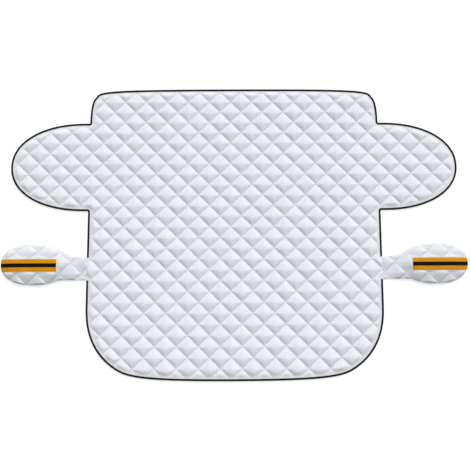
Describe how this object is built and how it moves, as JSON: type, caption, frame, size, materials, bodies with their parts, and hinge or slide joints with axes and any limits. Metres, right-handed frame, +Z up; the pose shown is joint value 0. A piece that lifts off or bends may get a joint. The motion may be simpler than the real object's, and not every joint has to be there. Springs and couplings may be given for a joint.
{
  "type": "windshield frost cover",
  "caption": "Quilted windshield frost cover laid out flat: a padded panel with a rounded wing at each side, a thin black binding, and mirror pockets with orange warning tapes.",
  "frame": {"origin": "on the surface that the cover lies on, under the middle of the body", "axes": "+X across the windshield towards the right wing, +Y towards the roof edge, +Z up out of the outer face"},
  "size_m": [1.982, 1.258, 0.0303],
  "materials": {
    "quilted_fabric": "smooth matte white quilted fabric, slightly bluish",
    "binding": "matte black woven tape",
    "elastic": "black ribbed elastic",
    "warning_tape": "satin orange warning tape",
    "warning_stripe": "satin black tape"
  },
  "bodies": {
    "root": {"cover_panel": "quilted_fabric", "upper_binding": "binding", "lower_binding": "binding", "right_pocket_front": "quilted_fabric", "right_pocket_back": "quilted_fabric", "right_mouth_elastic": "elastic", "right_warning_tape": "warning_tape", "right_warning_stripe": "warning_stripe", "left_pocket_front": "quilted_fabric", "left_pocket_back": "quilted_fabric", "left_mouth_elastic": "elastic", "left_warning_tape": "warning_tape", "left_warning_stripe": "warning_stripe"}
  },
  "joints": []
}
